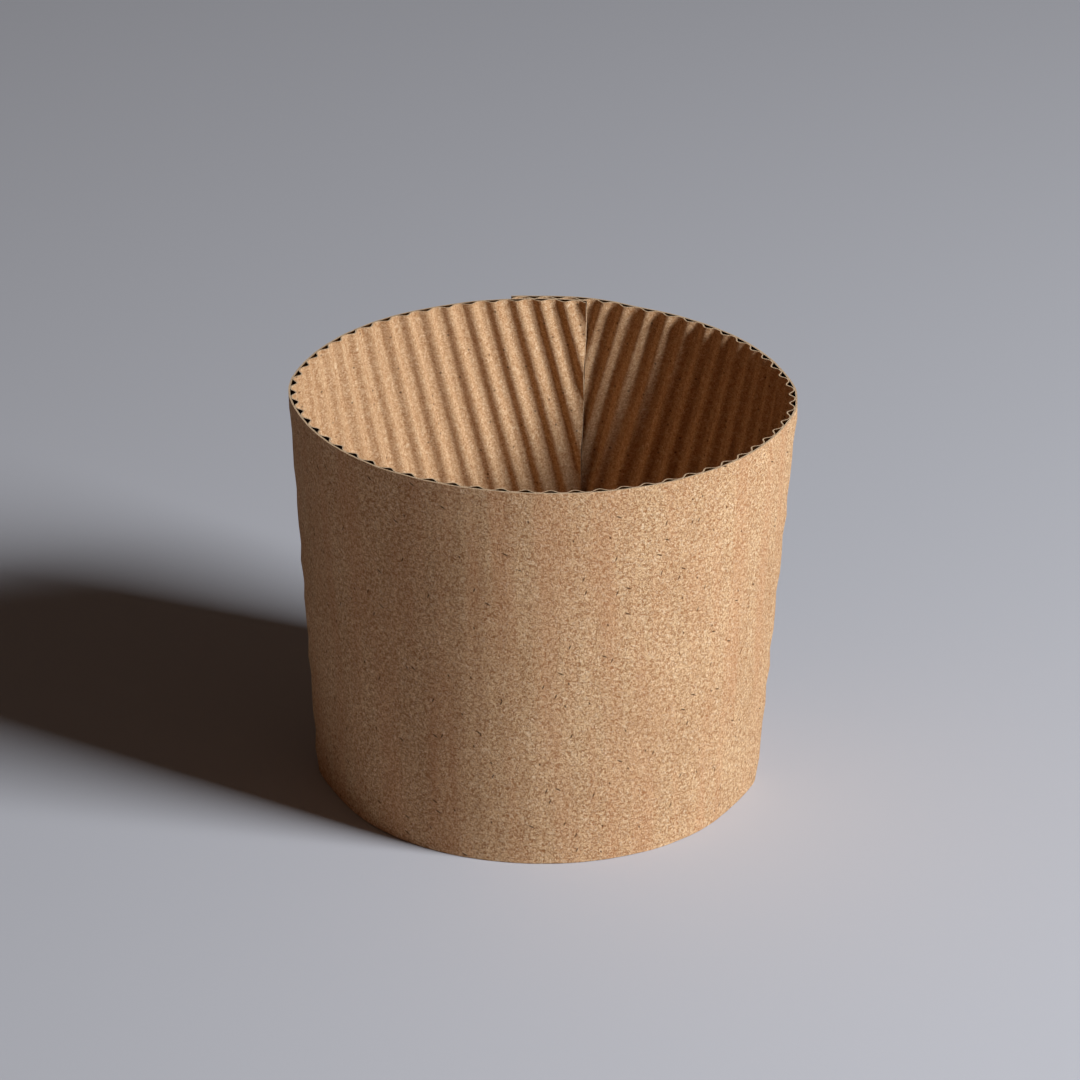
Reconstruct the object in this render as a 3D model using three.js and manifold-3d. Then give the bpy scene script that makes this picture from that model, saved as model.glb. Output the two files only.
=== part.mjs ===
// A coffee cup sleeve: one strip of single-face corrugated kraft board, folded flat at two side
// creases, glued into a ring at the back and pushed open into a tapered band.
// The smooth liner faces out. The fluted medium faces in, and its flutes are open at both rims.
// The board is cut as a piece of a flat ring, and its flutes run straight across it, parallel to
// the middle line of the front. On the cone they therefore lean more and more towards the back.
// The sleeve stands on its narrow rim. The origin is on its axis at the level of that rim,
// +Z is up and -Y is the middle of the front.
import * as THREE from "three";
import { mergeVertices } from "three/addons/utils/BufferGeometryUtils.js";
import Module from "manifold-3d";

// Overall sizes in millimetres. Radii and reaches are those of the liner's outer face.
const HEIGHT = 69.6;
const TOP_RADIUS = 41.4;
const BOTTOM_RADIUS = 35;
const TOP_CREASE_REACH = 42.3;
const BOTTOM_CREASE_REACH = 37.4;
const CREASE_SPREAD = 19; // width of wall on each side of a crease that bows out to it
const CREASE_BEND = 1.5; // half the width of the rounded fold itself

// The board.
const BOARD_THICKNESS = 1.5;
const LINER_THICKNESS = 0.3;
const MEDIUM_THICKNESS = 0.24;
const FLUTE_PITCH = 4.05;
const GLUE_LINE_WIDTH = 0.7; // where the medium is stuck to the liner
const FIRST_GLUE_LINE = 0.3; // from the middle line of the front

// The glued lap at the back.
const LAP_WIDTH = 12;
const LAP_RAMP_WIDTH = 9; // where the outer end climbs over the inner one
const LAP_SINK = 0.24; // how far the outer end's flutes are pressed into the liner under them

// Fineness of the model.
const ROWS = 4; // steps up the wall
const WAVE_STEPS = 6; // steps along one flute
const LINER_STEPS = 24; // steps of the liner in a quarter turn
const RUN_OUT_STEPS = 8; // steps of the liner past the lap, in what is trimmed off
const ARC_STEPS = 720; // steps for measuring along the ring

const KRAFT_COLOUR = 0xbd9064;

const QUARTER = Math.PI / 2;
const MIDDLE_RADIUS = (TOP_RADIUS + BOTTOM_RADIUS) / 2;
const HALF_LAP_ANGLE = LAP_WIDTH / MIDDLE_RADIUS / 2;
const RAMP_ANGLE = LAP_RAMP_WIDTH / MIDDLE_RADIUS;
const END_ANGLE = Math.PI + HALF_LAP_ANGLE;
const SPREAD_ANGLE = CREASE_SPREAD / MIDDLE_RADIUS;
const BEND_SHARE = CREASE_BEND / CREASE_SPREAD;
const LAP_LIFT = BOARD_THICKNESS - LAP_SINK;
const LINER_STEP_ANGLE = QUARTER / LINER_STEPS;

// How much of the crease's reach the wall has at an angle from the front: 0 where it is round,
// 1 at the crease.
function creaseShare(angle) {
  const away = Math.abs(Math.abs(angle) - QUARTER) / SPREAD_ANGLE;
  const rounded = Math.max(0, 1 - Math.hypot(away, BEND_SHARE));
  return (rounded / (1 - BEND_SHARE)) ** 2;
}

// How far the outer end of the strip stands off the inner one.
function lapLift(angle) {
  const start = Math.PI - HALF_LAP_ANGLE - RAMP_ANGLE;
  return LAP_LIFT * THREE.MathUtils.smoothstep(angle, start, start + RAMP_ANGLE);
}

// Radius of the liner's outer face. `up` goes from 0 at the lower rim to 1 at the upper one.
// `side` is 1 for the half that ends on top of the lap and -1 for the half that ends under it.
function ringRadius(up, angle, side) {
  const round = THREE.MathUtils.lerp(BOTTOM_RADIUS, TOP_RADIUS, up);
  const reach = THREE.MathUtils.lerp(BOTTOM_CREASE_REACH, TOP_CREASE_REACH, up);
  const lift = side > 0 ? lapLift(angle) : 0;
  return round + (reach - round) * creaseShare(angle) + lift;
}

// A point of the ring seen from above, at an angle from the front.
function ringPoint(up, angle, side) {
  const radius = ringRadius(up, angle, side);
  return new THREE.Vector2(radius * Math.sin(angle), -radius * Math.cos(angle));
}

// The same point moved into the board by `depth`, square to the ring.
function wallPoint(up, angle, side, depth) {
  const reach = LINER_STEP_ANGLE / 8;
  const before = ringPoint(up, angle - reach, side);
  const along = ringPoint(up, angle + reach, side).sub(before).normalize();
  const inward = new THREE.Vector2(-along.y, along.x).multiplyScalar(depth);
  const point = ringPoint(up, angle, side).add(inward);
  return new THREE.Vector3(point.x, point.y, HEIGHT * up);
}

// Lengths along the ring from the front's middle line, at even steps of angle.
function arcLengths(up, side) {
  const lengths = [0];
  let last = ringPoint(up, 0, side);
  for (let i = 1; i <= ARC_STEPS; i++) {
    const next = ringPoint(up, (i / ARC_STEPS) * 2 * Math.PI, side);
    lengths.push(lengths[i - 1] + next.distanceTo(last));
    last = next;
  }
  return lengths;
}

// The angle at which the ring has run a given length from the front. A length to the left is
// negative.
function angleAfter(length, lengths) {
  const run = Math.abs(length);
  const i = Math.max(1, lengths.findIndex((reached) => reached >= run));
  const share = (run - lengths[i - 1]) / (lengths[i] - lengths[i - 1]);
  return (Math.sign(length) * (i - 1 + share) * 2 * Math.PI) / ARC_STEPS;
}

// The flat blank: half its fan angle, and the distance of each row from the fan's centre.
const HALF_GIRTH_BOTTOM = arcLengths(0, -1)[ARC_STEPS / 2];
const HALF_GIRTH_TOP = arcLengths(1, -1)[ARC_STEPS / 2];
const SLANT_HEIGHT = Math.hypot(HEIGHT, TOP_RADIUS - BOTTOM_RADIUS);
const HALF_FAN_ANGLE = (HALF_GIRTH_TOP - HALF_GIRTH_BOTTOM) / SLANT_HEIGHT;
const fanRadius = (up) => HALF_GIRTH_BOTTOM / HALF_FAN_ANGLE + SLANT_HEIGHT * up;

// The flutes of one half, as straight lines of the blank, each a distance from its middle line.
function glueLines(side) {
  const past = END_ANGLE + 2 * LINER_STEP_ANGLE;
  const farthest = fanRadius(1) * Math.sin((HALF_FAN_ANGLE * past) / Math.PI) + BOARD_THICKNESS;
  const lines = [];
  for (let x = FIRST_GLUE_LINE; Math.abs(x) < farthest + FLUTE_PITCH; x += side * FLUTE_PITCH) {
    lines.push(x);
  }
  return lines;
}

// One flute across its pitch: the centre line of the medium swings from the liner to the inner
// face and back. Each entry has its place along the pitch and its depth, on both of its faces.
function wave() {
  const crest = LINER_THICKNESS + MEDIUM_THICKNESS / 2;
  const trough = BOARD_THICKNESS - MEDIUM_THICKNESS / 2;
  const swing = (trough - crest) / 2;
  const points = [];
  for (let i = 0; i <= WAVE_STEPS; i++) {
    const turn = (2 * Math.PI * i) / WAVE_STEPS;
    const slope = (swing * Math.sin(turn) * 2 * Math.PI) / FLUTE_PITCH;
    const normal = new THREE.Vector2(-slope, 1).setLength(MEDIUM_THICKNESS / 2);
    const centre = new THREE.Vector2(
      (FLUTE_PITCH * i) / WAVE_STEPS,
      crest + swing * (1 - Math.cos(turn)),
    );
    points.push({ inner: centre.clone().add(normal), outer: centre.clone().sub(normal) });
  }
  return points;
}

// The places of one row of a half: the liner's outer face, the medium's inner face, and the
// tunnel under the liner in each flute, all running away from the front.
function rowOfHalf(up, side, lines) {
  const lengths = arcLengths(up, side);
  const fan = fanRadius(up);
  const angleOf = (x) => angleAfter(Math.asin(x / fan) * fan, lengths);
  const place = (x, depth) => wallPoint(up, angleOf(x), side, depth);
  const first = lines[0];
  const last = lines[lines.length - 1];

  const liner = [place(first, 0)];
  const runOutStart = Math.ceil(END_ANGLE / LINER_STEP_ANGLE);
  for (let i = 1; i <= runOutStart; i++) {
    liner.push(wallPoint(up, side * i * LINER_STEP_ANGLE, side, 0));
  }
  const from = side * runOutStart * LINER_STEP_ANGLE;
  for (let i = 1; i <= RUN_OUT_STEPS; i++) {
    const angle = THREE.MathUtils.lerp(from, angleOf(last), i / RUN_OUT_STEPS);
    liner.push(wallPoint(up, angle, side, 0));
  }

  const shape = wave();
  const medium = [place(first, shape[0].inner.y)];
  const tunnels = [];
  for (const line of lines.slice(0, -1)) {
    const at = (point) => place(line + side * point.x, point.y);
    medium.push(...shape.slice(1).map((point) => at(point.inner)));
    const glueEdge = new THREE.Vector2(GLUE_LINE_WIDTH / 2, LINER_THICKNESS);
    const farEdge = new THREE.Vector2(FLUTE_PITCH - GLUE_LINE_WIDTH / 2, LINER_THICKNESS);
    const floor = shape.slice(1, -1).map((point) => at(point.outer));
    tunnels.push([at(glueEdge), ...floor, at(farEdge)]);
  }
  return { liner, medium, tunnels };
}

// One half of the strip, from the front's first glue line to past the lap, as a closed body.
function halfStrip(side) {
  const lines = glueLines(side);
  const positions = [];
  const faces = [];
  const store = (points) =>
    points.map((point) => positions.push(point.x, point.y, point.z) / 3 - 1);
  const addFace = (a, b, c) => faces.push(...(side > 0 ? [a, b, c] : [a, c, b]));

  const rows = [];
  for (let i = 0; i <= ROWS; i++) {
    const row = rowOfHalf(i / ROWS, side, lines);
    const liner = store(row.liner);
    const medium = store(row.medium);
    rows.push({ liner, medium, tunnels: row.tunnels.map(store), points: row });
  }

  // A band between two rows of points, which faces out of the ring for points that run right.
  const addBand = (low, high) => {
    for (let i = 1; i < low.length; i++) {
      addFace(low[i - 1], low[i], high[i]);
      addFace(low[i - 1], high[i], high[i - 1]);
    }
  };
  for (let i = 1; i <= ROWS; i++) {
    const low = rows[i - 1];
    const high = rows[i];
    addBand(low.liner, high.liner);
    addBand(high.medium, low.medium);
    low.tunnels.forEach((tunnel, k) => {
      addBand([...tunnel, tunnel[0]], [...high.tunnels[k], high.tunnels[k][0]]);
    });
    addBand([low.medium[0], low.liner[0]], [high.medium[0], high.liner[0]]);
    addBand([low.liner.at(-1), low.medium.at(-1)], [high.liner.at(-1), high.medium.at(-1)]);
  }

  // The cut edges at the two rims, with the open ends of the tunnels.
  const addRim = ({ liner, medium, tunnels, points }, up) => {
    const flat = (list) => list.map((point) => new THREE.Vector2(point.x, point.y));
    const outline = flat([...points.liner, ...[...points.medium].reverse()]);
    const holes = points.tunnels.map(flat);
    const indices = [...liner, ...[...medium].reverse(), ...tunnels.flat()];
    const corners = [...outline, ...holes.flat()];
    for (const [a, b, c] of THREE.ShapeUtils.triangulateShape(outline, holes)) {
      const facesUp = THREE.ShapeUtils.area([corners[a], corners[b], corners[c]]) > 0;
      const turned = facesUp === up ? [a, b, c] : [a, c, b];
      faces.push(...turned.map((corner) => indices[corner]));
    }
  };
  addRim(rows[0], false);
  addRim(rows[ROWS], true);

  const geometry = new THREE.BufferGeometry();
  geometry.setAttribute("position", new THREE.Float32BufferAttribute(positions, 3));
  geometry.setIndex(faces);
  return geometry;
}

const manifold = await Module();
manifold.setup();

// A closed geometry with shared vertices as a solid that can be joined and cut.
function solidOf(geometry) {
  return new manifold.Manifold(
    new manifold.Mesh({
      numProp: 3,
      vertProperties: new Float32Array(geometry.getAttribute("position").array),
      triVerts: new Uint32Array(geometry.getIndex().array),
    }),
  );
}

function geometryOf(solid) {
  const mesh = solid.getMesh();
  const geometry = new THREE.BufferGeometry();
  geometry.setAttribute("position", new THREE.BufferAttribute(mesh.vertProperties, 3));
  geometry.setIndex(new THREE.BufferAttribute(mesh.triVerts, 1));
  geometry.computeVertexNormals();
  return geometry;
}

// A wedge that covers the run-out of one half, from the straight cut of its end almost round to
// the front.
function endCutter(side) {
  const reach = 3 * TOP_RADIUS;
  const from = side * END_ANGLE - QUARTER;
  const to = side * (2 * Math.PI - HALF_LAP_ANGLE) - QUARTER;
  const arc = new THREE.EllipseCurve(0, 0, reach, reach, from, to, side < 0);
  const wedge = new THREE.Shape([new THREE.Vector2(), ...arc.getPoints(RUN_OUT_STEPS)]);
  const block = new THREE.ExtrudeGeometry(wedge, { depth: 2 * HEIGHT, bevelEnabled: false });
  block.translate(0, 0, -HEIGHT / 2);
  block.deleteAttribute("normal");
  block.deleteAttribute("uv");
  return mergeVertices(block);
}

function cutHalf(side) {
  return solidOf(halfStrip(side)).subtract(solidOf(endCutter(side)));
}

// The sleeve: both halves in one piece, joined at the front and along the lap.
function makeSleeve() {
  const kraft = new THREE.MeshStandardMaterial({
    color: KRAFT_COLOUR,
    roughness: 0.92,
    metalness: 0,
  });
  const sleeve = new THREE.Mesh(geometryOf(cutHalf(1).add(cutHalf(-1))), kraft);
  sleeve.name = "sleeve";
  return sleeve;
}

const coffeeCupSleeve = new THREE.Group();
coffeeCupSleeve.add(makeSleeve());

export default coffeeCupSleeve;
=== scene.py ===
# %% [markdown]
# A coffee cup sleeve is one strip of single-face corrugated board: a smooth kraft liner outside and
# a wavy kraft medium glued to it inside. The strip is cut flat, creased at two sides, glued into a
# ring at the back and pushed open. This lesson makes it in the same order as the factory does: one
# flute, many flutes, a flat blank, and at last the ring.

# %% Load the frame
import math

import bmesh
import bpy
import numpy as np
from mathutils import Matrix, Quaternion, Vector, noise


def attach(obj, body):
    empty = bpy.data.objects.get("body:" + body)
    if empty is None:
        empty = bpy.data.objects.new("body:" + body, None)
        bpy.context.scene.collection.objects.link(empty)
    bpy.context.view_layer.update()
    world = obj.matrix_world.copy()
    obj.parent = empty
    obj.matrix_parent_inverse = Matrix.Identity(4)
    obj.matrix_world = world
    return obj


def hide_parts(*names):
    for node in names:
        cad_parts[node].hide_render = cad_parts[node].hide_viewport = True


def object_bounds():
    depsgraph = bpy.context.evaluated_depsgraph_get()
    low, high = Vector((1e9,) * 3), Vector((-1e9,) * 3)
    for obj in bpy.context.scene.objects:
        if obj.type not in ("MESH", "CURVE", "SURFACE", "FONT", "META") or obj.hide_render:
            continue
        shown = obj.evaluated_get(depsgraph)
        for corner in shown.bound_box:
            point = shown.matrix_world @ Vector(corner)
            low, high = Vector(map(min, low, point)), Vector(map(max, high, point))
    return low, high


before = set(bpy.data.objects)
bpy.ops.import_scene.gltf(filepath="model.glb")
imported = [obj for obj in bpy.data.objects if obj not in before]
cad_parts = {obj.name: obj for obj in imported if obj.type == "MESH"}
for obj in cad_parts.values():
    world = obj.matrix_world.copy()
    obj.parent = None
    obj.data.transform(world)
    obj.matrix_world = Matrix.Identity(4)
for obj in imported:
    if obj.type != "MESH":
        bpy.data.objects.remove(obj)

MM = 0.001
cad_low, cad_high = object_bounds()
print("CAD box in mm:", [round(side / MM, 2) for side in cad_high - cad_low])

# %% [markdown]
# The sizes are those of the part. The height and the reach of the upper rim's creases are read from
# the frame, so that the looks can't drift from it. The others are the board's own sizes.

# %% Sizes of the ring and the board
HEIGHT = cad_high.z - cad_low.z
TOP_CREASE_REACH = cad_high.x
TOP_RADIUS = 41.4 * MM
BOTTOM_RADIUS = 35 * MM
BOTTOM_CREASE_REACH = 37.4 * MM
CREASE_SPREAD = 19 * MM
CREASE_BEND = 1.5 * MM
BOARD_THICKNESS = 1.5 * MM
LINER_THICKNESS = 0.3 * MM
MEDIUM_THICKNESS = 0.24 * MM
FLUTE_PITCH = 4.05 * MM
GLUE_LINE_WIDTH = 0.7 * MM
FIRST_GLUE_LINE = 0.3 * MM
LAP_WIDTH = 12 * MM
LAP_RAMP_WIDTH = 9 * MM
LAP_SINK = 0.24 * MM

QUARTER = math.pi / 2
MIDDLE_RADIUS = (TOP_RADIUS + BOTTOM_RADIUS) / 2
HALF_LAP_ANGLE = LAP_WIDTH / MIDDLE_RADIUS / 2
RAMP_ANGLE = LAP_RAMP_WIDTH / MIDDLE_RADIUS
END_ANGLE = math.pi + HALF_LAP_ANGLE
SPREAD_ANGLE = CREASE_SPREAD / MIDDLE_RADIUS
BEND_SHARE = CREASE_BEND / CREASE_SPREAD
LAP_LIFT = BOARD_THICKNESS - LAP_SINK
SLANT_HEIGHT = math.hypot(HEIGHT, TOP_RADIUS - BOTTOM_RADIUS)
print("slant height in mm:", round(SLANT_HEIGHT / MM, 2))

# %% [markdown]
# Seen from above the ring is round at the front and back, bows out to a fold at each side, and
# climbs over its other end at the back. A formula gives its outer face at any angle from the front.
# Simple Deform's bend makes only true arcs, so the formula is used to roll the blank up later.

# %% The ring seen from above


def crease_share(angle):
    """0 where the wall is round, 1 at a fold."""
    away = np.abs(np.abs(angle) - QUARTER) / SPREAD_ANGLE
    rounded = np.maximum(0, 1 - np.hypot(away, BEND_SHARE))
    return (rounded / (1 - BEND_SHARE)) ** 2


def ring_radius(up, angle, lapped):
    """The outer face. `lapped` is 1 on the half that ends on top of the lap, and 0 on the other."""
    plain = BOTTOM_RADIUS + (TOP_RADIUS - BOTTOM_RADIUS) * up
    reach = BOTTOM_CREASE_REACH + (TOP_CREASE_REACH - BOTTOM_CREASE_REACH) * up
    climb = np.clip((angle - math.pi + HALF_LAP_ANGLE + RAMP_ANGLE) / RAMP_ANGLE, 0, 1)
    lift = LAP_LIFT * climb * climb * (3 - 2 * climb) * lapped
    return plain + (reach - plain) * crease_share(angle) + lift


def ring_point(up, angle, lapped):
    radius = ring_radius(up, angle, lapped)
    return np.array([radius * np.sin(angle), -radius * np.cos(angle)])


ARC_STEPS = 1440
arc_angles = np.linspace(0, 2 * math.pi, ARC_STEPS + 1)


def arc_lengths(up, lapped):
    """Lengths along the ring from the middle of the front to each of arc_angles."""
    steps = np.diff(ring_point(up, arc_angles, lapped), axis=1)
    return np.concatenate([[0], np.cumsum(np.hypot(*steps))])


half_girths = [arc_lengths(up, 0)[ARC_STEPS // 2] for up in (0, 1)]
HALF_FAN_ANGLE = (half_girths[1] - half_girths[0]) / SLANT_HEIGHT
BOTTOM_FAN_RADIUS = half_girths[0] / HALF_FAN_ANGLE
print("the flat blank spans", round(2 * math.degrees(HALF_FAN_ANGLE), 1), "degrees")

# %% [markdown]
# Every step below edits the mesh by hand in edit mode, as one would with the mouse. With no window
# there is no mouse, so these helpers pick the points by their place and merge what meets.

# %% Helpers for editing


def add_strip(name, columns, width, thickness):
    """A flat strip of quads in the XY plane, from x = 0, with its near edge at y = 0."""
    bpy.ops.object.select_all(action="DESELECT")
    bpy.ops.mesh.primitive_grid_add(x_subdivisions=columns, y_subdivisions=1, size=1)
    strip = bpy.context.object
    strip.name = name
    bpy.ops.object.mode_set(mode="EDIT")
    bpy.ops.transform.translate(value=(0.5, 0.5, 0))
    bpy.ops.transform.resize(value=(width, thickness, 1), center_override=(0, 0, 0))
    bpy.ops.object.mode_set(mode="OBJECT")
    return strip


def pick(piece, test):
    """Selects, in edit mode, the points whose place passes the test."""
    mesh = bmesh.from_edit_mesh(piece.data)
    for face in mesh.faces:
        face.select_set(False)
    for edge in mesh.edges:
        edge.select_set(False)
    for point in mesh.verts:
        point.select_set(bool(test(point.co)))
    mesh.select_flush_mode()
    bmesh.update_edit_mesh(piece.data)


def apply_modifier(piece, kind, **settings):
    modifier = piece.modifiers.new(kind.title(), kind)
    for key, value in settings.items():
        setattr(modifier, key, value)
    bpy.context.view_layer.objects.active = piece
    bpy.ops.object.modifier_apply(modifier=modifier.name)


# %% [markdown]
# One flute is a single wave of the medium under a straight bit of liner. Between its glue lines the
# liner sinks in a little, which is the faint washboard that is felt through the paper. The section
# of one pitch is drawn first, as two strips of quads: each column of points is moved to its depth,
# and the points on the glue lines are merged, so that the two papers are fused there.

# %% The section of one flute
COLUMNS = 14
WASHBOARD = 0.025 * MM
CREST = LINER_THICKNESS + MEDIUM_THICKNESS / 2
SWING = (BOARD_THICKNESS - MEDIUM_THICKNESS / 2 - CREST) / 2
FREE_WIDTH = FLUTE_PITCH - GLUE_LINE_WIDTH
TINY = 1e-6


def turn_at(x):
    """How far the wave has turned: flat on the glue lines and one full turn between them."""
    return 2 * math.pi * min(max((x - GLUE_LINE_WIDTH / 2) / FREE_WIDTH, 0), 1)


def liner_sag(x):
    return WASHBOARD * (1 - math.cos(turn_at(x))) / 2


def medium_place(x, face):
    """A point of the medium. `face` is -1 for the face towards the liner and 1 for the other."""
    turn = turn_at(x)
    slope = SWING * math.sin(turn) * 2 * math.pi / FREE_WIDTH
    across = Vector((-slope, 1)).normalized() * (face * MEDIUM_THICKNESS / 2)
    return Vector((x + across.x, CREST + SWING * (1 - math.cos(turn)) + across.y))


liner = add_strip("liner_section", COLUMNS, FLUTE_PITCH, LINER_THICKNESS)
bpy.ops.object.mode_set(mode="EDIT")
for i in range(COLUMNS + 1):
    x = FLUTE_PITCH * i / COLUMNS
    pick(liner, lambda co: abs(co.x - x) < TINY)
    bpy.ops.transform.translate(value=(0, liner_sag(x), 0))
bpy.ops.object.mode_set(mode="OBJECT")

medium = add_strip("medium_section", COLUMNS, FLUTE_PITCH, MEDIUM_THICKNESS)
bpy.ops.object.mode_set(mode="EDIT")
FAR_OFF = 1.0  # the strip is shaped a metre away, so that moved points aren't picked again
for i in range(COLUMNS + 1):
    x = FLUTE_PITCH * i / COLUMNS
    for face, y in ((-1, 0), (1, MEDIUM_THICKNESS)):
        place = medium_place(x, face)
        pick(medium, lambda co: abs(co.x - x) < TINY and abs(co.y - y) < TINY)
        bpy.ops.transform.translate(value=(place.x - x, place.y - y, FAR_OFF))
bpy.ops.mesh.select_all(action="SELECT")
bpy.ops.transform.translate(value=(0, 0, -FAR_OFF))
bpy.ops.object.mode_set(mode="OBJECT")

bpy.ops.object.select_all(action="DESELECT")
medium.select_set(True)
liner.select_set(True)
bpy.context.view_layer.objects.active = liner
bpy.ops.object.join()
board = bpy.context.object
board.name = "sleeve_board"
board.data.name = "sleeve_board"
bpy.ops.object.mode_set(mode="EDIT")
bpy.ops.mesh.select_all(action="SELECT")
bpy.ops.mesh.remove_doubles(threshold=TINY)
bpy.ops.object.mode_set(mode="OBJECT")
print("one flute:", len(board.data.vertices), "points,", len(board.data.polygons), "quads")

# %% [markdown]
# The machine makes the same flute over and over, so an Array modifier repeats it across the blank,
# with its merge switched on. Then the whole section is extruded upwards row by row. Rows are needed
# because the blank is bent later, and a straight edge can only bend at its points.

# %% The flat web of board
ROWS = 20
fan_top_radius = BOTTOM_FAN_RADIUS + SLANT_HEIGHT
end_fan_angle = HALF_FAN_ANGLE * END_ANGLE / math.pi
half_width = fan_top_radius * math.sin(end_fan_angle) + 2 * FLUTE_PITCH
flutes_left = math.ceil((half_width + FIRST_GLUE_LINE) / FLUTE_PITCH)
flutes = flutes_left + math.ceil((half_width - FIRST_GLUE_LINE) / FLUTE_PITCH)

apply_modifier(
    board, "ARRAY", count=flutes, use_relative_offset=False, use_constant_offset=True,
    constant_offset_displace=(FLUTE_PITCH, 0, 0), use_merge_vertices=True, merge_threshold=TINY,
)
bpy.ops.object.mode_set(mode="EDIT")
bpy.ops.mesh.select_all(action="SELECT")
bpy.ops.transform.translate(value=(FIRST_GLUE_LINE - flutes_left * FLUTE_PITCH, 0, 0))
for row in range(ROWS):
    bpy.ops.mesh.extrude_region_move(
        TRANSFORM_OT_translate={"value": (0, 0, SLANT_HEIGHT / ROWS)}
    )
bpy.ops.object.mode_set(mode="OBJECT")
print(flutes, "flutes,", len(board.data.polygons), "faces")

# %% [markdown]
# The sleeve is tapered because its blank is a piece of a flat ring. Its rims are arcs round one
# centre, while the flutes stay straight and parallel. Each point is therefore dropped straight down
# until it lies on its row's arc. The two ends are then cut off along lines from that centre with the
# bisect tool, which also closes the cut.

# %% The die-cut blank


def read_points(piece):
    places = np.empty(len(piece.data.vertices) * 3)
    piece.data.vertices.foreach_get("co", places)
    return places.reshape(-1, 3)


def write_points(piece, places):
    piece.data.vertices.foreach_set("co", places.ravel())
    piece.data.update()


places = read_points(board)
arc_radius = BOTTOM_FAN_RADIUS + places[:, 2]
places[:, 2] = np.sqrt(arc_radius**2 - places[:, 0] ** 2) - BOTTOM_FAN_RADIUS
write_points(board, places)


def end_cut_angle(lapped):
    """The blank's angle from its middle line to the cut end of one half."""
    run = np.interp(END_ANGLE, arc_angles, arc_lengths(0.5, lapped))
    return run / (BOTTOM_FAN_RADIUS + SLANT_HEIGHT / 2)


bpy.ops.object.mode_set(mode="EDIT")
for side, lapped in ((1, 1), (-1, 0)):
    angle = end_cut_angle(lapped)
    bpy.ops.mesh.select_all(action="SELECT")
    bpy.ops.mesh.bisect(
        plane_co=(0, 0, -BOTTOM_FAN_RADIUS),
        plane_no=(side * math.cos(angle), 0, -math.sin(angle)),
        use_fill=True, clear_outer=True,
    )
bpy.ops.mesh.select_all(action="SELECT")
bpy.ops.mesh.normals_make_consistent(inside=False)
bpy.ops.object.mode_set(mode="OBJECT")
print("the blank has", len(board.data.polygons), "faces")

# %% [markdown]
# Four finishes are told apart while the blank is still flat, because its faces are easy to tell by
# their normals and depth there. The smooth side of the liner faces the front, cut edges face along
# the board, the far side of the medium is the inside of the ring, and the rest lies in the tunnels.
# The flat place of each corner is kept as a UV map, so fibres and flute lines follow the paper round
# the ring.

# %% Finishes and the paper's own map
OUTSIDE, INSIDE, CUT_EDGE, TUNNEL = range(4)
UV_LENGTH = 0.1  # one unit of the map is 100 mm of paper
EDGE_ON = 0.3

for finish in ("kraft_outside", "kraft_inside", "kraft_cut_edge", "kraft_tunnel"):
    board.data.materials.append(bpy.data.materials.new(finish))
for face in board.data.polygons:
    if abs(face.normal.y) < EDGE_ON:
        face.material_index = CUT_EDGE
    elif face.center.y < LINER_THICKNESS / 2 + WASHBOARD / 2 and face.normal.y < 0:
        face.material_index = OUTSIDE
    elif face.normal.y > 0 and face.center.y > LINER_THICKNESS + WASHBOARD:
        face.material_index = INSIDE
    else:
        face.material_index = TUNNEL

paper_map = board.data.uv_layers.active or board.data.uv_layers.new(name="paper")
paper_map.name = "paper"
places = read_points(board)
corner_points = np.empty(len(board.data.loops), int)
board.data.loops.foreach_get("vertex_index", corner_points)
flat_places = places[corner_points][:, [0, 2]] / UV_LENGTH
paper_map.data.foreach_set("uv", flat_places.ravel())
counts = [0, 0, 0, 0]
for face in board.data.polygons:
    counts[face.material_index] += 1
print("faces outside, inside, cut and in the tunnels:", counts)

# %% [markdown]
# Paper is never quite true. The cut rims waver by up to a sixth of a millimetre, the wall has
# shallow dents, some flutes are pressed flatter than others, and the folds buckle into short scallops
# where they crush the flutes. All of these only go inwards, so the sleeve stays within its real size.
# Each one has a depth, the length of one wave, and a seed for its noise.

# %% Slight unevenness
RIM_WAVER = 0.16 * MM
RIM_WAVER_LENGTH = 5 * MM
RIM_WAVER_FADE = 8  # the higher, the closer to the rim the waver stays
DENT_DEPTH = 0.22 * MM
DENT_LENGTH = 17 * MM
CRUSHED = 0.16
CRUSHED_LENGTH = 6 * MM
SCALLOP_DEPTH = 0.34 * MM
SCALLOP_LENGTH = 9 * MM
SCALLOP_REACH = 2.6 * MM
SCALLOP_DRIFT_LENGTH = 30 * MM
RIM_SEED, DENT_SEED, CRUSHED_SEED, SCALLOP_SEED = 2.9, 1.7, 4.1, 7.3


def waver(points, size, seed):
    """Soft noise from 0 to 1 at flat places in metres, with features of a given size."""
    return np.array([noise.noise(Vector((x / size, z / size, seed))) for x, z in points]) / 2 + 0.5


# %% [markdown]
# Paper bends but doesn't stretch, so a point that lies a certain length of paper from the middle line
# must lie the same length round the ring. The lengths are known for a few levels between the rims,
# and the angle is blended between the two levels next to the point. The point then goes inwards by
# its depth in the board and by the unevenness there.

# %% Roll the blank into the ring
NUDGE = 0.008  # radians to either side of a point, to find which way the wall runs


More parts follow.
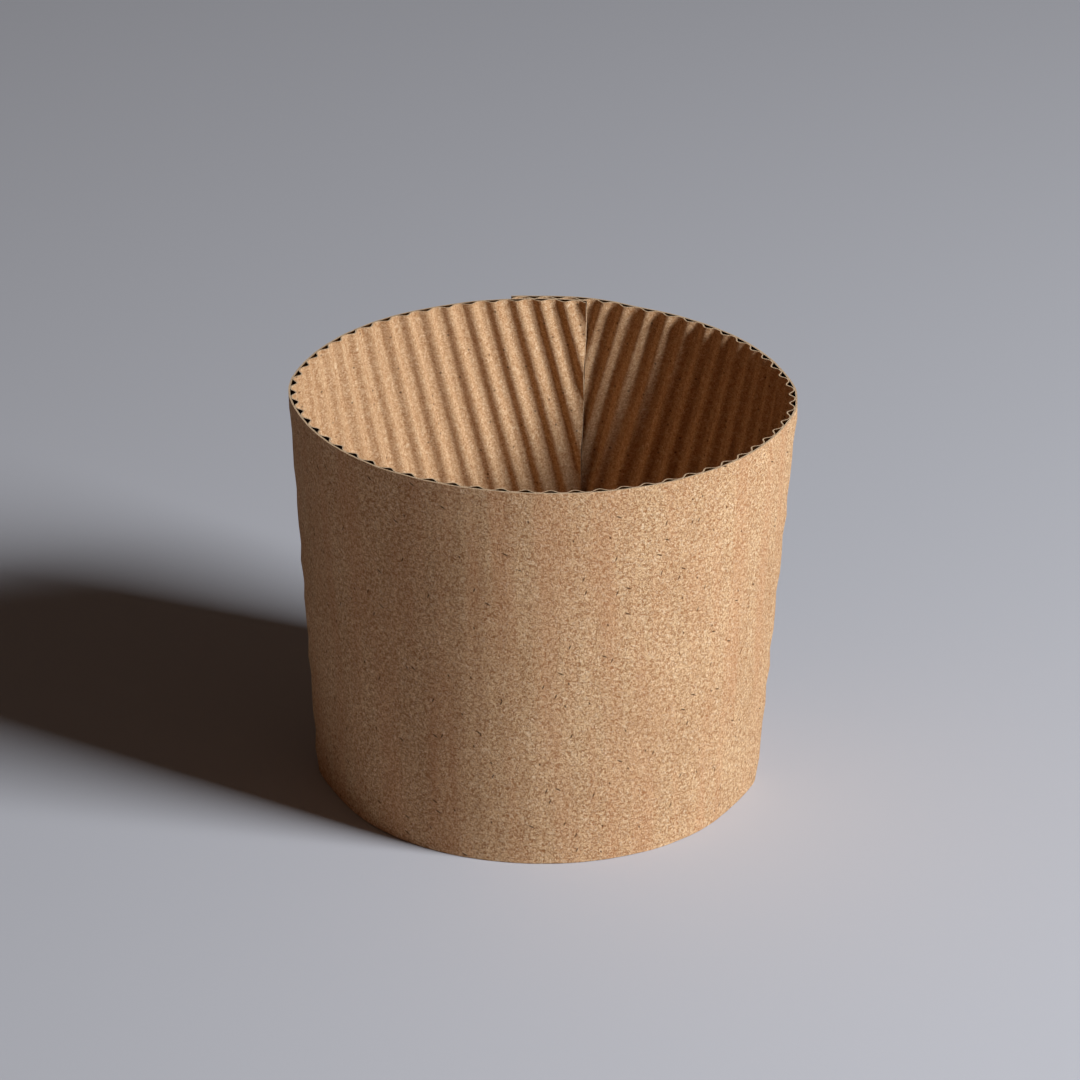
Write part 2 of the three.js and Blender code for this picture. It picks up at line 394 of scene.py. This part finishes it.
def roll_up(piece):
    """Carries each point of the flat blank to its place in the ring."""
    flat = read_points(piece)
    fan = np.hypot(flat[:, 0], flat[:, 2] + BOTTOM_FAN_RADIUS)
    up = np.clip((fan - BOTTOM_FAN_RADIUS) / SLANT_HEIGHT, 0, 1)
    run = np.arctan2(flat[:, 0], flat[:, 2] + BOTTOM_FAN_RADIUS) * fan
    paper = np.column_stack([run, up * SLANT_HEIGHT])
    lapped = (run > 0) * 1.0

    # the ring's angle that uses up the same length of paper
    levels = np.linspace(0, 1, ROWS // 2 + 1)
    angles = np.empty((len(levels), len(flat)))
    for i, level in enumerate(levels):
        right = np.interp(np.abs(run), arc_lengths(level, 1), arc_angles)
        left = np.interp(np.abs(run), arc_lengths(level, 0), arc_angles)
        angles[i] = np.where(run > 0, right, -left)
    low = np.minimum((up * (len(levels) - 1)).astype(int), len(levels) - 2)
    share = up * (len(levels) - 1) - low
    every = np.arange(len(flat))
    angle = angles[low, every] * (1 - share) + angles[low + 1, every] * share

    # the direction from the outer face into the board
    along = ring_point(up, angle + NUDGE, lapped) - ring_point(up, angle - NUDGE, lapped)
    along /= np.hypot(*along)
    inward = np.array([-along[1], along[0]])

    # how deep the point lies under the outer face
    beside = (np.abs(np.abs(angle) - QUARTER) * MIDDLE_RADIUS) / SCALLOP_REACH
    drift = 5 * waver(paper, SCALLOP_DRIFT_LENGTH, SCALLOP_SEED)
    swing = np.sin(2 * math.pi * up * HEIGHT / SCALLOP_LENGTH + drift)
    scallop = SCALLOP_DEPTH * np.exp(-beside**2) * (0.5 + 0.5 * swing)
    dents = DENT_DEPTH * waver(paper, DENT_LENGTH, DENT_SEED)
    in_medium = flat[:, 1] > LINER_THICKNESS * 1.2
    pressed = 1 - CRUSHED * waver(paper, CRUSHED_LENGTH, CRUSHED_SEED) * in_medium
    depth = flat[:, 1] * pressed + scallop + dents * (1 - crease_share(angle))

    # its place in the ring, with the rims a little uneven
    point = ring_point(up, angle, lapped) + inward * depth
    trim = RIM_WAVER * waver(paper, RIM_WAVER_LENGTH, RIM_SEED)
    height = up * HEIGHT + trim * ((1 - up) ** RIM_WAVER_FADE - up**RIM_WAVER_FADE)
    write_points(piece, np.column_stack([point[0], point[1], height + cad_low.z]))


roll_up(board)
bpy.ops.object.mode_set(mode="EDIT")
bpy.ops.mesh.select_all(action="SELECT")
bpy.ops.mesh.normals_make_consistent(inside=False)
bpy.ops.object.mode_set(mode="OBJECT")
SHARP_ANGLE = math.radians(35)
bpy.ops.object.shade_smooth_by_angle(angle=SHARP_ANGLE)
box = read_points(board)
print("rolled up, in mm:", np.round(box.min(0) / MM, 2), np.round(box.max(0) / MM, 2))

# %% [markdown]
# Kraft paper is a felt of short curly fibres, so close up it is all tiny strokes, light and dark,
# lying every way. Stretched noises laid over each other at different angles give the soft felt. The
# thin curly strokes on top are contour lines of a noise, cut to short bits by a second noise.

# %% Helpers for node materials
NOISE_SLOPE = 0.7  # about how far a noise rises over the length of one feature


class Finish:
    """The node tree of one material, with short calls for the nodes that paper needs."""

    def __init__(self, name):
        self.material = bpy.data.materials[name]
        self.material.use_nodes = True
        self.nodes = self.material.node_tree.nodes
        self.links = self.material.node_tree.links
        self.shader = self.nodes["Principled BSDF"]
        self.paper = self.nodes.new("ShaderNodeUVMap")
        self.paper.uv_map = "paper"

    def link(self, source, target):
        self.links.new(source, target)

    def math(self, operation, first, second=0.0):
        node = self.nodes.new("ShaderNodeMath")
        node.operation = operation
        for socket, value in zip(node.inputs, (first, second)):
            if isinstance(value, (int, float)):
                socket.default_value = value
            else:
                self.link(value, socket)
        return node.outputs[0]

    def place(self, turn, size_across, size_along, shift=0.0):
        """The paper's map turned by an angle, with features of a given size in metres."""
        node = self.nodes.new("ShaderNodeMapping")
        node.vector_type = "TEXTURE"
        node.inputs["Rotation"].default_value = (0, 0, math.radians(turn))
        node.inputs["Location"].default_value = (shift, shift / 2, 0)
        scale = (size_across / UV_LENGTH, size_along / UV_LENGTH, 1)
        node.inputs["Scale"].default_value = scale
        self.link(self.paper.outputs["UV"], node.inputs["Vector"])
        return node.outputs[0]

    def noise(self, where, detail=1.0, roughness=0.5, distortion=0.0):
        node = self.nodes.new("ShaderNodeTexNoise")
        node.noise_dimensions = "2D"
        node.inputs["Scale"].default_value = 1.0
        node.inputs["Detail"].default_value = detail
        node.inputs["Roughness"].default_value = roughness
        node.inputs["Distortion"].default_value = distortion
        self.link(where, node.inputs["Vector"])
        return node.outputs[0]

    def spots(self, where, radius, kept):
        """1 in small spots: one in each of a share `kept` of the cells, 0 elsewhere."""
        node = self.nodes.new("ShaderNodeTexVoronoi")
        node.voronoi_dimensions = "2D"
        node.inputs["Scale"].default_value = 1.0
        self.link(where, node.inputs["Vector"])
        near = self.range(node.outputs["Distance"], radius, radius * 0.5, 0, 1)
        split = self.nodes.new("ShaderNodeSeparateColor")
        self.link(node.outputs["Color"], split.inputs["Color"])
        chosen = self.math("LESS_THAN", split.outputs[0], kept)
        return self.math("MULTIPLY", near, chosen)

    def range(self, value, from_low, from_high, to_low, to_high):
        """Stretches one range of values to another, and stops at its ends."""
        node = self.nodes.new("ShaderNodeMapRange")
        for socket, number in zip(node.inputs[1:5], (from_low, from_high, to_low, to_high)):
            socket.default_value = number
        self.link(value, node.inputs["Value"])
        return node.outputs[0]

    def mix(self, share, first, second):
        """The first colour, turned into the second one by a share from 0 to 1."""
        node = self.nodes.new("ShaderNodeMix")
        node.data_type = "RGBA"
        sockets = (node.inputs[0], node.inputs[6], node.inputs[7])
        for socket, value in zip(sockets, (share, first, second)):
            if isinstance(value, tuple):
                socket.default_value = (*value, 1)
            elif isinstance(value, (int, float)):
                socket.default_value = value
            else:
                self.link(value, socket)
        return node.outputs[2]

    def felt(self, width, length, turns):
        """Crossing strokes of a given size: high where a fibre lies on top, low between fibres."""
        total = None
        for i, turn in enumerate(turns):
            stroke = self.noise(self.place(turn, width, length, 0.37 * i), 1.0, 0.5, 0.9)
            total = stroke if total is None else self.math("ADD", total, stroke)
        return self.math("DIVIDE", total, float(len(turns)))

    def strands(self, turn, size, width, shift):
        """Thin curly fibres: contour lines of one noise, cut into short bits by another."""
        curl = self.noise(self.place(turn, size, size * 1.7, shift), 1.0, 0.5, 0.7)
        off_line = self.math("ABSOLUTE", self.math("SUBTRACT", curl, 0.5))
        line = self.range(off_line, 0, NOISE_SLOPE * width / size, 1, 0)
        patch = self.noise(self.place(turn + 50, size, size * 1.3, shift + 2.3), 0.0)
        return self.math("MULTIPLY", line, self.range(patch, 0.46, 0.54, 0, 1))

    def highest(self, *values):
        """Lays patterns over each other, where each is 1 on its marks and 0 elsewhere."""
        top = values[0]
        for value in values[1:]:
            top = self.math("MAXIMUM", top, value)
        return top

    def bump(self, height, distance, strength, under=None):
        """Lets a pattern tilt the light. `under` is a coarser bump that it lies on."""
        node = self.nodes.new("ShaderNodeBump")
        node.inputs["Distance"].default_value = distance
        node.inputs["Strength"].default_value = strength
        self.link(height, node.inputs["Height"])
        if under is not None:
            self.link(under, node.inputs["Normal"])
        return node.outputs[0]

    def set_shine(self, roughness, specular):
        """Sets the two numbers that are the same all over the surface."""
        self.shader.inputs["Roughness"].default_value = roughness
        self.shader.inputs["Specular IOR Level"].default_value = specular


# %% [markdown]
# The outside is the smooth side of the liner. Its colour is a kraft brown with thin dark gaps and
# pale fibres, cloudy patches a centimetre across, reddish streaks up the paper, dark specks of bark
# and a few longer dark fibres. Over each glue line the paper is a touch darker, as glue shows through.

# %% The liner's outside
KRAFT = (0.68, 0.432, 0.23)
KRAFT_DARK = (0.25, 0.09, 0.025)
KRAFT_LIGHT = (0.94, 0.73, 0.50)
RED_STREAK = (0.50, 0.205, 0.09)
BARK = (0.06, 0.025, 0.01)
FIBRE_TURNS = (8, 44, 79, 117, 152)
PAPER_SPECULAR = 0.08

outside = Finish("kraft_outside")
felt = outside.felt(0.15 * MM, 0.5 * MM, FIBRE_TURNS)
gaps = outside.highest(
    outside.strands(10, 0.5 * MM, 0.06 * MM, 0.4),
    outside.strands(72, 0.75 * MM, 0.06 * MM, 1.9),
    outside.strands(131, 0.4 * MM, 0.055 * MM, 3.2),
)
flecks = outside.strands(35, 0.55 * MM, 0.05 * MM, 4.7)
colour = outside.mix(outside.range(felt, 0.40, 0.52, 0.45, 0), KRAFT, KRAFT_DARK)
colour = outside.mix(outside.range(felt, 0.54, 0.62, 0, 0.8), colour, KRAFT_LIGHT)
colour = outside.mix(outside.math("MULTIPLY", gaps, 0.85), colour, KRAFT_DARK)
colour = outside.mix(outside.math("MULTIPLY", flecks, 0.5), colour, KRAFT_LIGHT)
relief = outside.math("SUBTRACT", felt, outside.math("MULTIPLY", gaps, 0.5))

clouds = outside.noise(outside.place(0, 11 * MM, 15 * MM), 3.0, 0.6)
colour = outside.mix(outside.range(clouds, 0.3, 0.7, 0, 0.16), colour, KRAFT_DARK)
blush = outside.noise(outside.place(3, 4.5 * MM, 50 * MM, 3.1), 2.0, 0.6)
colour = outside.mix(outside.range(blush, 0.4, 0.68, 0, 0.25), colour, RED_STREAK)

flute_wave = outside.nodes.new("ShaderNodeTexWave")
flute_wave.bands_direction = "X"
flute_wave.wave_profile = "SIN"
WAVE_UNIT = math.pi / 10  # the wave texture repeats after this length at a scale of 1
flute_wave.inputs["Scale"].default_value = 1.0
flute_place = outside.place(0, FLUTE_PITCH / WAVE_UNIT, 1.0)
outside.link(flute_place, flute_wave.inputs["Vector"])
flute_lines = flute_wave.outputs["Fac"]
colour = outside.mix(outside.range(flute_lines, 0.0, 1.0, 0, 0.03), colour, KRAFT_DARK)

specks = outside.spots(outside.place(20, 1.9 * MM, 3.8 * MM), 0.085, 0.08)
shives = outside.spots(outside.place(63, 1.4 * MM, 6 * MM, 1.3), 0.115, 0.06)
shives_across = outside.spots(outside.place(-21, 1.3 * MM, 5 * MM, 5.2), 0.115, 0.05)
dark = outside.highest(specks, shives, shives_across)
colour = outside.mix(outside.math("MULTIPLY", dark, 0.9), colour, BARK)
outside.link(colour, outside.shader.inputs["Base Color"])
outside.set_shine(0.88, PAPER_SPECULAR)
cockle = outside.bump(clouds, distance=0.25 * MM, strength=0.35)
normal = outside.bump(relief, distance=0.12 * MM, strength=0.8, under=cockle)
outside.link(normal, outside.shader.inputs["Normal"])
print("outside:", len(outside.nodes), "nodes")

# %% [markdown]
# The inside is the same stock without the smoothing: the medium is pressed between hot rollers, so
# its felt is looser, with fine lines along the flutes where the paper was stretched.

# %% The fluted inside
MEDIUM_KRAFT = (0.56, 0.33, 0.17)

inside = Finish("kraft_inside")
loose = inside.felt(0.16 * MM, 0.9 * MM, (15, 60, 105, 150))
colour = inside.mix(inside.range(loose, 0.38, 0.5, 0.7, 0), MEDIUM_KRAFT, KRAFT_DARK)
colour = inside.mix(inside.range(loose, 0.52, 0.64, 0, 0.6), colour, KRAFT_LIGHT)
stretch = inside.noise(inside.place(0, 0.5 * MM, 24 * MM), 2.0)
colour = inside.mix(inside.range(stretch, 0.35, 0.7, 0, 0.22), colour, KRAFT_DARK)
inside_specks = inside.spots(inside.place(0, 2.9 * MM, 2.9 * MM, 2.0), 0.08, 0.3)
colour = inside.mix(inside.math("MULTIPLY", inside_specks, 0.7), colour, BARK)
inside.link(colour, inside.shader.inputs["Base Color"])
inside.set_shine(0.92, PAPER_SPECULAR)
normal = inside.bump(loose, distance=0.18 * MM, strength=0.9)
inside.link(normal, inside.shader.inputs["Normal"])
print("inside:", len(inside.nodes), "nodes")

# %% [markdown]
# Only the tunnels' mouths are ever seen, as a row of dark cells along the rims. Their near-black
# colour is painted shade: it stands for the darkness deep inside the narrow tunnels.

# %% The tunnels
# painted shade: these near-black browns stand for the dark deep inside the tunnels
TUNNEL_PAINTED_SHADE_DARK = (0.02, 0.006, 0.001)
TUNNEL_PAINTED_SHADE_BROWN = (0.05, 0.018, 0.005)

tunnel = Finish("kraft_tunnel")
# a faint mottle between the two painted shade colours
painted_shade_mottle = tunnel.noise(tunnel.place(0, 0.6 * MM, 2 * MM), 3.0)
colour = tunnel.mix(tunnel.range(painted_shade_mottle, 0.35, 0.65, 0, 1), TUNNEL_PAINTED_SHADE_DARK, TUNNEL_PAINTED_SHADE_BROWN)
tunnel.link(colour, tunnel.shader.inputs["Base Color"])
tunnel.set_shine(1.0, 0)
print("tunnel:", len(tunnel.nodes), "nodes")

# %% [markdown]
# A cut edge shows raw fibre ends, paler than either face and slightly furry. The paper's map has no
# depth, so this finish reads the place in space instead, with a noise finer than the paper is thick.

# %% The cut edges
CUT_SHADE = (0.30, 0.165, 0.08)
CUT_PALE = (0.78, 0.58, 0.38)
FUR_PER_METRE = 6500

edge = Finish("kraft_cut_edge")
edge_place = edge.nodes.new("ShaderNodeTexCoord")
fur = edge.nodes.new("ShaderNodeTexNoise")
fur.inputs["Scale"].default_value = FUR_PER_METRE
fur.inputs["Detail"].default_value = 3.0
edge.link(edge_place.outputs["Object"], fur.inputs["Vector"])
colour = edge.mix(edge.range(fur.outputs[0], 0.35, 0.7, 0, 1), CUT_SHADE, CUT_PALE)
edge.link(colour, edge.shader.inputs["Base Color"])
edge.set_shine(0.95, PAPER_SPECULAR)
normal = edge.bump(fur.outputs[0], distance=0.08 * MM, strength=0.7)
edge.link(normal, edge.shader.inputs["Normal"])
print("cut edge:", len(edge.nodes), "nodes")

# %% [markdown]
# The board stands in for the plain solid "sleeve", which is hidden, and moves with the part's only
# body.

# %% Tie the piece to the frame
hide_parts("sleeve")
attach(board, "root")

# %% [markdown]
# The sleeve stands on a plain pale floor. A big softbox on the right lights it, low enough to rake
# across the front. A weak warm lamp and a dim warm world fill the shaded side, so the round form
# reads clearly.

# %% Floor
FLOOR_SIZE = 6
FLOOR_GREY = (0.48, 0.465, 0.484, 1)

bpy.ops.object.select_all(action="DESELECT")
bpy.ops.mesh.primitive_plane_add(size=FLOOR_SIZE, location=(0, 0, cad_low.z))
floor = bpy.context.object
floor.name = "floor"
floor.data.materials.append(bpy.data.materials.new("floor_paint"))
floor_paint = floor.data.materials[0]
floor_paint.use_nodes = True
floor_shader = floor_paint.node_tree.nodes["Principled BSDF"]
floor_shader.inputs["Base Color"].default_value = FLOOR_GREY
floor_shader.inputs["Roughness"].default_value = 0.8

# %% [markdown]
# The camera looks down on the sleeve from just over a metre, with a long lens, as in a product shot.
# It aims at the ring's axis, and its distance and pitch set how strongly the two rims curve.

# %% Camera
FRAME_PIXELS = 1080
FOCAL_PIXELS = 6500
SENSOR_WIDTH = 36.0
VIEW_DISTANCE = 1084.5 * MM
VIEW_TURN = math.radians(1.2)
VIEW_PITCH = math.radians(24.3)
VIEW_ROLL = math.radians(0.94)
LOOK_HEIGHT = 42.8 * MM
AXIS_PIXEL = 540.9

target = Vector((0, 0, LOOK_HEIGHT))
away = Vector((
    math.cos(VIEW_PITCH) * math.sin(VIEW_TURN),
    -math.cos(VIEW_PITCH) * math.cos(VIEW_TURN),
    math.sin(VIEW_PITCH),
))
bpy.ops.object.camera_add(location=target + away * VIEW_DISTANCE)
camera = bpy.context.object
camera.rotation_mode = "QUATERNION"
camera.rotation_quaternion = (-away).to_track_quat("-Z", "Y") @ Quaternion((0, 0, 1), VIEW_ROLL)
camera.data.sensor_width = SENSOR_WIDTH
camera.data.lens = FOCAL_PIXELS / FRAME_PIXELS * SENSOR_WIDTH
camera.data.shift_x = -(AXIS_PIXEL - FRAME_PIXELS / 2) / FRAME_PIXELS
bpy.context.scene.camera = camera
print("lens:", round(camera.data.lens, 1), "mm")

# %% [markdown]
# Lamps are easiest to place by their turn and rise seen from the sleeve, as in a studio. Each one is
# a square that faces the sleeve, and a larger square gives a softer shadow.

# %% Lights


def add_softbox(name, turn, rise, distance, size, power, colour):
    """A square lamp that faces the sleeve. `turn` is from the front towards the right."""
    turn, rise = math.radians(turn), math.radians(rise)
    away = Vector((
        math.cos(rise) * math.sin(turn), -math.cos(rise) * math.cos(turn), math.sin(rise),
    ))
    middle = Vector((0, 0, cad_low.z + HEIGHT / 2))
    bpy.ops.object.light_add(type="AREA", location=middle + away * distance)
    lamp = bpy.context.object
    lamp.name = name
    lamp.rotation_mode = "QUATERNION"
    lamp.rotation_quaternion = (-away).to_track_quat("-Z", "Y")
    lamp.data.size = size
    lamp.data.energy = power
    lamp.data.color = colour


add_softbox(
    "key_softbox", turn=64, rise=34, distance=1.15, size=0.38, power=20.6, colour=(0.93, 1.0, 1.07),
)
add_softbox(
    "warm_fill", turn=-25, rise=8, distance=1.2, size=0.7, power=0.6, colour=(1.0, 0.45, 0.18),
)

DIM_WARM = (1.0, 0.74, 0.6, 1)
DIM_STRENGTH = 0.042
world = bpy.data.worlds.new("studio")
bpy.context.scene.world = world
world.use_nodes = True
background = world.node_tree.nodes["Background"]
background.inputs["Color"].default_value = DIM_WARM
background.inputs["Strength"].default_value = DIM_STRENGTH
bpy.context.scene.view_settings.view_transform = "Standard"
